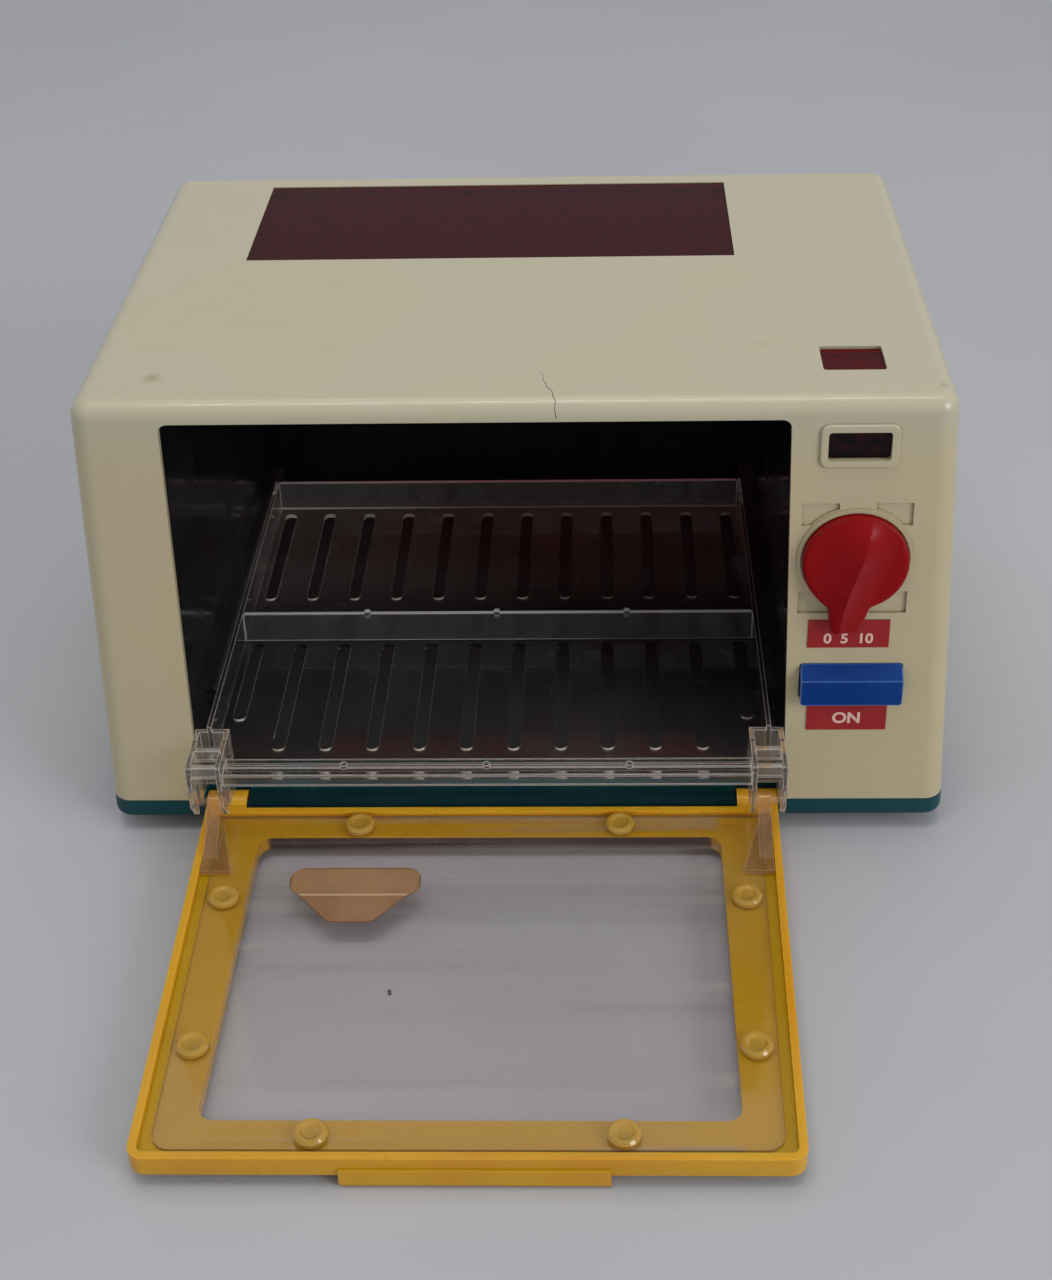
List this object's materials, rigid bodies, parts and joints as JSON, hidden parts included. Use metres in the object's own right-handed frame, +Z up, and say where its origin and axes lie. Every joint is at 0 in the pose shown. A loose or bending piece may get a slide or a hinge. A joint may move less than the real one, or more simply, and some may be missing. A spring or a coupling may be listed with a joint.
{
  "type": "toy microwave",
  "caption": "Toy microwave oven with a drop-down door that slides its tray in and out, a turning timer knob and a power button.",
  "frame": {"origin": "centre of the base's outline on the floor", "axes": "+X to the right and -Y to the front, where the door and controls are; +Z up"},
  "size_m": [0.2998, 0.3577, 0.1738],
  "materials": {
    "cream_plastic": "satin moulded, slightly yellowed",
    "teal_plastic": "satin moulded",
    "black_plastic": "glossy moulded",
    "red_window": "dark red transparent plastic",
    "amber_plastic": "translucent amber",
    "clear_plastic": "clear, slightly hazed by wear",
    "peach_label": "printed sticker",
    "red_plastic": "glossy",
    "red_label": "satin plate",
    "blue_plastic": "glossy",
    "grey_plastic": "moulded",
    "steel": "zinc plated",
    "brass": "stamped",
    "bulb_glass": "clear glass",
    "cell_jacket": "plain jacket"
  },
  "bodies": {
    "housing": {"outer_shell": "cream_plastic", "base_tray": "teal_plastic", "oven_liner": "black_plastic", "top_window": "red_window", "lamp_window_top": "red_window", "lamp_window_front": "red_window", "timer_label": "red_label", "power_label": "red_label", "hinge_pins": "steel", "timer_unit": "grey_plastic", "timer_screws": "steel", "switch_block": "grey_plastic", "switch_contacts": "brass", "switch_screws": "steel", "button_spring": "steel", "lamp_socket": "grey_plastic", "lamp_bulb": "bulb_glass", "battery_box": "black_plastic", "battery_cells": "cell_jacket", "battery_contacts": "brass", "battery_spring": "steel", "battery_cover": "teal_plastic", "cover_screws": "steel", "base_screws": "steel"},
    "door": {"door_frame": "amber_plastic", "door_pane": "clear_plastic", "pane_rivets": "clear_plastic", "door_label": "peach_label", "door_arm_left": "clear_plastic", "door_arm_right": "clear_plastic"},
    "tray": {"sliding_tray": "clear_plastic"},
    "timer_dial": {"timer_knob": "red_plastic", "timer_shaft": "steel"},
    "power_key": {"power_button": "blue_plastic", "contact_bridge": "brass"}
  },
  "joints": [
    {"name": "door_hinge", "type": "hinge", "parent": "housing", "child": "door", "pos_m": [-0.0124, -0.0978, 0.0088], "axis": [-1, 0, 0], "range_deg": [0, 92.29]},
    {"name": "tray_slide", "type": "slide", "parent": "housing", "child": "tray", "axis": [0, 1, 0], "range_m": [0, 0.02745]},
    {"name": "timer_turn", "type": "hinge", "parent": "housing", "child": "timer_dial", "pos_m": [0.1123, -0.09786, 0.1145], "axis": [0, 0.9992, -0.04], "range_deg": [0, 300]},
    {"name": "button_press", "type": "slide", "parent": "housing", "child": "power_key", "axis": [0, 0.9992, -0.04], "range_m": [0, 0.003], "stiffness_N_per_m": 300, "deforming": ["button_spring"]}
  ],
  "couplings": [
    {"joint": "tray_slide", "follows": "door_hinge", "m_per_rad": 0.01701}
  ]
}
